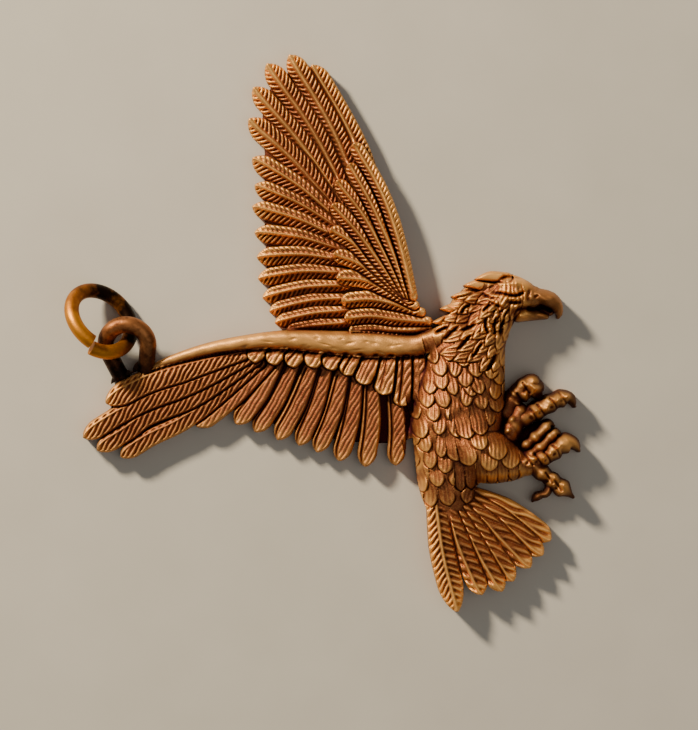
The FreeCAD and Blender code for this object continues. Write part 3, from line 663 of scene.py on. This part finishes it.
def head():
    mass("body", MOUTH_FLOOR, floor=1.0, seed=13)
    mass("body", LOWER_BEAK, floor=1.0, seed=11, rough=0.22)
    mass("body", UPPER_BEAK, floor=1.0, seed=12, rough=0.22)
    # mouth, nostril and the step between beak and face
    stroke([(18.2, 2.15), (19.0, 2.15), (19.7, 2.4), (20.7, 1.95)], 0.17, -0.9, 0.12)
    stroke([(18.9, 3.15), (19.4, 3.3)], 0.1, -0.25)
    stroke([(18.7, 4.0), (18.4, 3.4), (18.5, 2.6)], 0.2, -0.3)
    stroke([(19.2, 2.75), (20.2, 2.6), (20.9, 2.2)], 0.14, -0.16)
    # brow, the dark line under it, eye and cheek
    stroke([(15.3, 3.9), (16.6, 4.45), (18.4, 4.2)], 0.3, 0.45)
    stroke([(15.2, 3.5), (16.1, 3.45), (17.2, 3.25), (18.3, 3.7)], 0.15, -0.6, 0.2)
    stroke([(15.5, 4.4), (16.4, 4.95), (17.6, 4.85), (18.3, 4.6)], 0.12, -0.35)
    stroke([(14.2, 3.6), (15.0, 3.1), (15.9, 3.0)], 0.12, -0.4)
    stroke([(14.6, 2.9), (15.6, 2.4), (16.4, 2.1)], 0.12, -0.4)
    knob(17.05, 3.02, 0.15, 0.28, -12, 0.4)
    stroke([(16.2, 2.75), (17.2, 2.65), (18.1, 2.75)], 0.12, -0.35)
    knob(17.3, 2.3, 0.2, 0.42, 20, 0.35)
    for step in range(5):
        x = 15.2 + 0.5 * step
        stroke([(x + 0.6, 2.5 - 0.1 * step), (x + 0.1, 1.6 - 0.1 * step), (x - 0.1, 0.4)], 0.1, -0.3)


far_wing()
near_wing()
tail()
feet()
body()
np.clip(relief.height, LOWEST, HIGHEST - 0.02, out=relief.height)
# the outline keeps to the casting's own box, to about 0.01 mm
for places, low, high in zip((relief.x, relief.y), SKETCH_LOW, SKETCH_HIGH):
    np.minimum(relief.inside, np.minimum(places - low, high - places), out=relief.inside)


# ---- patina: where the metal is rubbed bright and where it stays dark, with painted highlight and painted shade ----
def made_of(name):
    return relief.piece == PIECES.index(name)


def worn_dark_and_painted_light():
    """How rubbed and how dark the metal is, from 0 to 1: rubbed on ridges and dark in hollows, with a
    painted highlight on the arm's top and painted shade on the feet.
    """
    metal = np.where(relief.inside > 0, relief.height, 0.6)
    fine, wide, broad = (metal - blurred(metal, radius) for radius in BLURS)
    worn_and_lit = ramp(fine * 3.4 + wide * 1.0 + broad * 0.4, 0.1, 1.0)
    dark = ramp(-fine * 4.2 - wide * 1.5 - broad * 0.3, 0.04, 0.8)
    dark = np.maximum(dark, ramp(WEB_TOP + 0.25 - metal, 0, 0.2))
    # the bare arm's top gets a painted highlight, and the near wing's feathers are dark; the tail and the
    # far wing are lighter
    near = made_of("near_wing")
    arm = near * ramp(metal, 2.25, 2.7) * (1 - 0.7 * ramp(relief.x, 6.8, 9.6))
    feather = near * (1 - ramp(metal, 1.8, 2.3))
    on_tail = made_of("tail")
    flight = made_of("far_wing_flight")
    dark = dark * (1 - 0.3 * flight - 0.45 * on_tail)
    worn_and_lit = np.minimum(1, worn_and_lit * (1 + 0.3 * flight + 0.6 * on_tail))
    # painted highlight: the arm's top is made pale
    worn_and_lit = np.maximum(worn_and_lit * (1 - 0.35 * feather), 0.85 * arm)
    dark = np.maximum(dark, 0.28 * feather)
    # beak and feet are dull; the feet get painted shade, lighter only on top where light falls
    beak = made_of("body") * ramp(relief.x, 17.9, 19.2) * ramp(relief.y, 0.2, 0.9)
    worn_and_lit = worn_and_lit * (1 - 0.55 * beak)
    dark = np.maximum(dark, 0.4 * beak)
    # painted shade on the feet
    dark = np.maximum(dark, made_of("legs_and_feet") * (0.92 - 0.7 * ramp(metal, 1.8, 3.0)))
    return worn_and_lit, dark


# ---- meshes ----
def kept_cells():
    """The piece of each grid cell, or -1, and each place's distance from the outline and way in."""
    slope_y, slope_x = np.gradient(relief.inside, PITCH)
    steep = np.maximum(np.hypot(slope_x, slope_y), 0.5)
    distance = relief.inside / steep
    near = distance > -0.5 * PITCH
    # a cell is kept where all its corners are; cells that touch only at a corner get one owner
    cells = near[:-1, :-1] & near[1:, :-1] & near[:-1, 1:] & near[1:, 1:]
    owner = np.where(cells, relief.piece[:-1, :-1], -1)
    for _ in range(3):
        a, b, c, d = owner[:-1, :-1], owner[:-1, 1:], owner[1:, :-1], owner[1:, 1:]
        crossed = (a == d) & (b != a) & (c != a)
        b[crossed] = a[crossed]
        crossed = (b == c) & (a != b) & (d != b)
        a[crossed] = b[crossed]
    return owner, distance, slope_x / steep, slope_y / steep


def settle_outline(owner, distance, way_x, way_y):
    """Grid places, with those on the rim moved onto the outline, and which these are."""
    kept = np.pad(owner >= 0, 1)
    around = kept[:-1, :-1] & kept[1:, :-1] & kept[:-1, 1:] & kept[1:, 1:]
    any_around = kept[:-1, :-1] | kept[1:, :-1] | kept[:-1, 1:] | kept[1:, 1:]
    rim = any_around & ~around
    step = np.where(rim, np.clip(distance, -0.9 * PITCH, 0.9 * PITCH), 0)
    return relief.x - step * way_x, relief.y - step * way_y, rim


WALL_LEVELS = (0.84, 0.0)     # rows of points in a wall, as shares of its height
# painted shade on the walls and the flat back
WALL_PAINTED_SHADE = 0.35
MAP_GAP = 0.25                # millimetres between the parts of a piece's map
BACK_SCALE = 0.5              # the plain back and the walls get less of the map than the relief
WALL_SCALE = 0.6


class FlatMap:
    """A piece's map for baking: the relief seen from above, then the back, then the walls in rows."""

    def __init__(self, top):
        self.low = top[:, :2].min(0)
        size = top[:, :2].max(0) - self.low
        self.turned = size[1] > size[0]
        self.long, self.short = max(size), min(size)
        self.back_at = self.short + MAP_GAP
        self.walls_at = self.back_at + BACK_SCALE * self.short + MAP_GAP
        self.row = WALL_SCALE * top[:, 2].max() + MAP_GAP
        self.scale = 1.0

    def flat(self, places, scale=1.0, up=0.0):
        across = (places[..., :2] - self.low) * scale
        if self.turned:
            across = across[..., ::-1]
        return across + (0.0, up)

    def walls(self, starts, lengths, rows):
        """Corners of wall quads between rows of heights: upper end, upper start, lower start, lower end."""
        row = np.floor(starts / self.long)
        begin = starts - row * self.long
        found = []
        for upper, lower in zip(rows[:-1], rows[1:]):
            u = np.stack([begin + lengths, begin, begin, begin + lengths], 1)
            v = np.stack([upper[:, 1], upper[:, 0], lower[:, 0], lower[:, 1]], 1)
            up = self.walls_at + row[:, None] * self.row + WALL_SCALE * v
            found.append(np.stack([u, up], 2))
        total = self.walls_at + (row.max() + 1) * self.row
        self.scale = 1 / (max(self.long + lengths.max(), total) + MAP_GAP)
        return np.vstack(found)


def distance_along(edges, lengths):
    """How far along the outline each of its edges starts."""
    leaving = {}
    for index, start in enumerate(edges[:, 0].tolist()):
        leaving.setdefault(start, []).append(index)
    starts = np.zeros(len(edges))
    run = 0.0
    while leaving:
        place = next(iter(leaving))
        while place in leaving:
            index = leaving[place].pop()
            if not leaving[place]:
                del leaving[place]
            starts[index] = run
            run += lengths[index]
            place = int(edges[index, 1])
    return starts


def outline_edges(faces, count):
    """Edges that only one face has, in that face's direction. count is the number of points."""
    edges = np.concatenate([faces[:, [k, (k + 1) % 4]] for k in range(4)])
    forward = edges[:, 0] * count + edges[:, 1]
    backward = edges[:, 1] * count + edges[:, 0]
    return edges[~np.isin(forward, backward)]


def mesh_of(name, points, quads):
    """A mesh of four-sided faces, from points in millimetres."""
    mesh = bpy.data.meshes.new(name)
    mesh.vertices.add(len(points))
    mesh.vertices.foreach_set("co", (points * MM).astype(np.float32).ravel())
    mesh.loops.add(quads.size)
    mesh.loops.foreach_set("vertex_index", quads.astype(np.int32).ravel())
    mesh.polygons.add(len(quads))
    mesh.polygons.foreach_set("loop_start", np.arange(0, quads.size, 4, dtype=np.int32))
    mesh.update(calc_edges=True)
    return mesh


def new_object(name, data):
    obj = bpy.data.objects.new(name, data)
    bpy.context.scene.collection.objects.link(obj)
    return obj


def closed_piece(name, owner, x, y, rim, worn_and_lit, dark):
    """The part of the relief that belongs to one piece, with walls down to a flat back."""
    rows, columns = np.nonzero(owner == PIECES.index(name))
    width = relief.x.shape[1]
    corners = np.stack([rows * width + columns, rows * width + columns + 1,
                        (rows + 1) * width + columns + 1, (rows + 1) * width + columns], 1)
    used, faces = np.unique(corners, return_inverse=True)
    faces = faces.reshape(-1, 4)
    top = np.stack([x.ravel()[used], y.ravel()[used], relief.height.ravel()[used]], 1)
    count = len(used)
    open_edges = outline_edges(faces, count)
    ring, open_index = np.unique(open_edges, return_inverse=True)
    open_index = open_index.reshape(-1, 2)
    below = [top[ring] * (1, 1, share) for share in WALL_LEVELS]
    quads = [faces]
    upper = open_edges
    for level in range(len(WALL_LEVELS)):
        lower = open_index + count + level * len(ring)
        quads.append(np.stack([upper[:, 1], upper[:, 0], lower[:, 0], lower[:, 1]], 1))
        upper = lower
    sheet = FlatMap(top)
    lengths = np.hypot(*(top[open_edges[:, 1], :2] - top[open_edges[:, 0], :2]).T)
    heights = [top[open_edges, 2] * share for share in (1, *WALL_LEVELS)]
    on_walls = sheet.walls(distance_along(open_edges, lengths), lengths, heights)
    places = np.vstack([sheet.flat(top[faces]), on_walls])
    points = np.vstack([top, *below]) + np.array(SHIFT)
    mesh = mesh_of(name, points, np.vstack(quads))
    patina = np.zeros((len(points), 4), np.float32)
    patina[:count, 0] = worn_and_lit.ravel()[used]
    patina[:count, 1] = dark.ravel()[used]
    # the walls and the back get painted shade
    patina[count:, 1] = WALL_PAINTED_SHADE
    patina[:, 3] = 1
    layer = mesh.attributes.new("patina", "FLOAT_COLOR", "POINT")
    layer.data.foreach_set("color", patina.ravel())
    bake_map = mesh.uv_layers.new(name="OFBake")
    bake_map.data.foreach_set("uv", (places * sheet.scale).astype(np.float32).ravel())
    add_back(mesh, sheet)
    seam = ~rim.ravel()[used]
    smooth_and_seams(mesh, seam, count, len(points) - len(ring))
    return new_object(name, mesh)


def add_back(mesh, sheet):
    """Closes the flat back across the walls' lower edges."""
    work = bmesh.new()
    work.from_mesh(mesh)
    lower = [e for e in work.edges if len(e.link_faces) == 1]
    made = bmesh.ops.triangle_fill(work, use_beauty=False, use_dissolve=False, edges=lower,
                                   normal=(0, 0, -1))
    layer = work.loops.layers.uv["OFBake"]
    for face in made["geom"]:
        if isinstance(face, bmesh.types.BMFace):
            for corner in face.loops:
                place = np.array(corner.vert.co) / MM - SHIFT
                corner[layer].uv = sheet.flat(place, BACK_SCALE, sheet.back_at) * sheet.scale
    work.to_mesh(mesh)
    work.free()


def read(items, name, size, kind):
    """One property of a mesh's items, which has that many numbers each."""
    values = np.zeros(size * len(items), kind)
    items.foreach_get(name, values)
    return values


def smooth_and_seams(mesh, seam, count, first_of_back):
    """Smooth shading, with a sharp edge round the back and where two pieces meet."""
    mesh.polygons.foreach_set("use_smooth", np.ones(len(mesh.polygons), bool))
    ends = read(mesh.edges, "vertices", 2, np.int32).reshape(-1, 2)
    lower = (ends >= first_of_back).all(1)
    upper = (ends < count).all(1)
    at_seam = np.zeros(len(ends), bool)
    at_seam[upper] = seam[ends[upper, 0]] & seam[ends[upper, 1]]
    edge_of_corner = read(mesh.loops, "edge_index", 1, np.int32)
    corners = read(mesh.polygons, "loop_total", 1, np.int32)
    normals = read(mesh.polygons, "normal", 3, np.float32).reshape(-1, 3)
    upright = np.abs(normals[:, 2]) < 1e-4
    sides = np.zeros(len(ends), int)
    np.add.at(sides, edge_of_corner, np.repeat(upright, corners))
    sharp = lower | (at_seam & (sides > 0))
    layer = mesh.attributes.new("sharp_edge", "BOOLEAN", "EDGE")
    layer.data.foreach_set("value", sharp)


# ---- materials ----
class Nodes:
    """Short way to write a node material."""

    def __init__(self, name):
        self.material = bpy.data.materials.new(name)
        self.material.use_nodes = True
        self.tree = self.material.node_tree
        self.shader = self.tree.nodes["Principled BSDF"]

    def add(self, kind, inputs=(), **settings):
        node = self.tree.nodes.new("ShaderNode" + kind)
        for key, value in settings.items():
            setattr(node, key, value)
        for key, value in dict(inputs).items():
            if isinstance(value, bpy.types.NodeSocket):
                self.tree.links.new(value, node.inputs[key])
            else:
                node.inputs[key].default_value = value
        return node

    def noise(self, size, detail=4.0, rough=0.55):
        """Noise whose patches are about size millimetres across."""
        place = self.add("TexCoord").outputs["Object"]
        node = self.add("TexNoise", {"Vector": place, "Scale": 1 / (size * MM), "Detail": detail,
                                     "Roughness": rough})
        return node.outputs["Fac"]

    def ramp(self, value, stops):
        """A colour ramp. Each stop is its place and a colour, or a single grey."""
        node = self.add("ValToRGB", {"Fac": value})
        colours = node.color_ramp.elements
        while len(colours) < len(stops):
            colours.new(0.5)
        for element, (at, colour) in zip(colours, stops):
            element.position = at
            element.color = (*colour, 1) if len(colour) == 3 else (colour[0],) * 3 + (1,)
        return node.outputs["Color"]

    def mix(self, share, first, second):
        """First colour where share is 0, second where it is 1."""
        first, second = [(*c, 1) if isinstance(c, tuple) else c for c in (first, second)]
        return self.add("Mix", {0: share, 6: first, 7: second}, data_type="RGBA").outputs[2]

    def maths(self, operation, first, second):
        return self.add("Math", {0: first, 1: second}, operation=operation).outputs[0]

    def bump(self, height, depth):
        node = self.add("Bump", {"Height": height, "Distance": depth * MM, "Strength": 1.0})
        return node.outputs["Normal"]

    def finish(self, colour, roughness, normal, metallic, specular):
        """Gives the shader what it needs, and returns the material."""
        for name, value in (("Base Color", colour), ("Roughness", roughness), ("Normal", normal)):
            self.tree.links.new(value, self.shader.inputs[name])
        self.shader.inputs["Metallic"].default_value = metallic
        self.shader.inputs["Specular IOR Level"].default_value = specular
        return self.material


DARK_PATINA_AND_SHADE = (0.055, 0.007, 0.010)
BROWN_COPPER = (0.24, 0.058, 0.026)
WARM_COPPER = (0.42, 0.132, 0.052)
PALE_COPPER = (1.0, 0.52, 0.155)


def casting_copper():
    m = Nodes("cast_copper_patina_and_painted_light")
    patina = m.add("SeparateColor", {"Color": m.add("Attribute", attribute_name="patina").outputs["Color"]})
    worn_and_lit, dark = patina.outputs["Red"], patina.outputs["Green"]
    mottle = m.noise(1.6, 5.0)
    speckle = m.noise(0.12, 3.0)
    ground = m.mix(m.ramp(mottle, [(0.35, (0,)), (0.68, (1,))]), BROWN_COPPER, WARM_COPPER)
    ground = m.mix(m.ramp(speckle, [(0.42, (0,)), (0.75, (0.35,))]), ground, PALE_COPPER)
    # rubbed ridges, and the painted highlight on the arm's top, take the pale copper
    rubbed_and_lit = m.mix(worn_and_lit, ground, PALE_COPPER)
    # patina in hollows, and painted shade on the feet, walls and back, take the dark colour
    colour = m.mix(dark, rubbed_and_lit, DARK_PATINA_AND_SHADE)
    dullness = m.maths("ADD", m.maths("MULTIPLY", dark, 0.6), m.maths("MULTIPLY", mottle, 0.5))
    roughness = m.ramp(dullness, [(0.1, (0.42,)), (0.9, (0.7,))])
    return m.finish(colour, roughness, m.bump(m.noise(0.09, 4.0, 0.6), 0.03), 0.8, 0.3)


# The wire parts: (node, material, dark, middle and bright colour, size of the patches, roughness,
# centre of the part, the way in which painted shade makes it darker, how far that reaches)
WIRE_PARTS = [
    ("hanging_loop", "loop_copper_patina", (0.012, 0.005, 0.003), (0.11, 0.038, 0.015),
     (0.38, 0.155, 0.055), 1.1, 0.38, (-17.6, -1.1), (-0.3, -0.95), 3.0),
    # painted shade: the braze is dark all over, where the loop's feet sit in shadow
    ("braze_fillets", "braze_patina", (0.010, 0.005, 0.003), (0.03, 0.014, 0.008),
     (0.08, 0.035, 0.018), 0.6, 0.6, (-17.6, -3.4), (0.0, -1.0), 2.0),
    ("jump_ring", "ring_brass_patina", (0.012, 0.004, 0.001), (0.36, 0.12, 0.018),
     (0.66, 0.27, 0.030), 2.6, 0.42, (-19.8, 1.1), (0.75, 0.66), 3.0),
]
# painted shade on the wire parts
PAINTED_SHADE_FALL = 0.28              # by how much the tone falls over that reach


def wire_metal(name, deep, middle, bright, size, rough, centre, way, reach):
    """Wire with patchy patina, and painted shade that makes it darker from one side of centre to the other,
    along way.
    """
    m = Nodes(name)
    patches = m.noise(size, 5.0, 0.6)
    place = m.add("SeparateXYZ", {"Vector": m.add("TexCoord").outputs["Object"]})
    shares = []
    for axis, start, part in zip("XY", centre, way):
        passed = m.maths("SUBTRACT", place.outputs[axis], start * MM)
        shares.append(m.maths("MULTIPLY", passed, part / (reach * MM)))
    # painted shade: the tone falls along way
    side = m.maths("MULTIPLY", m.maths("ADD", *shares), -PAINTED_SHADE_FALL)
    tone = m.maths("ADD", patches, side)
    colour = m.ramp(tone, [(0.30, deep), (0.50, middle), (0.68, bright)])
    roughness = m.ramp(patches, [(0.3, (rough + 0.15,)), (0.7, (rough,))])
    return m.finish(colour, roughness, m.bump(m.noise(0.15, 4.0, 0.6), 0.02), 0.85, 0.25)


copper = casting_copper()
owner, distance, way_x, way_y = kept_cells()
place_x, place_y, rim = settle_outline(owner, distance, way_x, way_y)
worn_and_lit, dark = worn_dark_and_painted_light()
for piece_name in PIECES:
    piece = closed_piece(piece_name, owner, place_x, place_y, rim, worn_and_lit, dark)
    piece.data.materials.append(copper)
    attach(piece, "pendant")
    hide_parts("eagle_casting")


for node_name, *look in WIRE_PARTS:
    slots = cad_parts[node_name].data.materials
    slots.clear()
    slots.append(wire_metal(*look))


# ---- floor, lights and camera ----
VIEW_CENTRE = Vector((2.115, -2.844, 0.0))
VIEW_HEIGHT = 65.2            # millimetres that the picture's long side covers at the floor
CAMERA_DISTANCE = 280.0
CLIPPING = (10.0, 4000.0)     # nearest and furthest distance that the camera sees
FLOOR_SIZE = 900.0
FLOOR_TINTS = ((0.66, 0.64, 0.58), (0.70, 0.68, 0.62))
# (name, place, diameter, watts, colour)
LIGHTS = [
    ("key", (-215, 215, 180), 50, 2.1, (1.0, 0.83, 0.60)),
    ("fill", (120, -60, 330), 300, 0.16, (1.0, 0.94, 0.86)),
]
STUDIO_COLOUR = (0.80, 0.76, 0.70)
STUDIO_STRENGTH = 0.16


def floor():
    mesh = bpy.data.meshes.new("floor")
    half = FLOOR_SIZE / 2 * MM
    corners = [(-half, -half, 0), (half, -half, 0), (half, half, 0), (-half, half, 0)]
    mesh.from_pydata(corners, [], [(0, 1, 2, 3)])
    obj = new_object("floor", mesh)
    m = Nodes("pale_floor")
    colour = m.ramp(m.noise(9.0, 3.0), list(zip((0.3, 0.7), FLOOR_TINTS)))
    m.tree.links.new(colour, m.shader.inputs["Base Color"])
    m.shader.inputs["Roughness"].default_value = 0.9
    obj.data.materials.append(m.material)


def light(name, place, diameter, power, colour):
    data = bpy.data.lights.new(name, "AREA")
    data.shape = "DISK"
    data.size = diameter * MM
    data.energy = power
    data.color = colour
    obj = new_object(name, data)
    obj.location = Vector(place) * MM
    obj.rotation_mode = "QUATERNION"
    obj.rotation_quaternion = (VIEW_CENTRE * MM - obj.location).to_track_quat("-Z", "Y")


def camera():
    data = bpy.data.cameras.new("camera")
    data.lens = data.sensor_width * CAMERA_DISTANCE / VIEW_HEIGHT
    data.clip_start, data.clip_end = (distance * MM for distance in CLIPPING)
    obj = new_object("camera", data)
    obj.location = (VIEW_CENTRE + Vector((0, 0, CAMERA_DISTANCE))) * MM
    bpy.context.scene.camera = obj


def studio():
    world = bpy.data.worlds.new("studio")
    world.use_nodes = True
    background = world.node_tree.nodes["Background"]
    background.inputs["Color"].default_value = (*STUDIO_COLOUR, 1)
    background.inputs["Strength"].default_value = STUDIO_STRENGTH
    bpy.context.scene.world = world


floor()
for row in LIGHTS:
    light(*row)
studio()
camera()
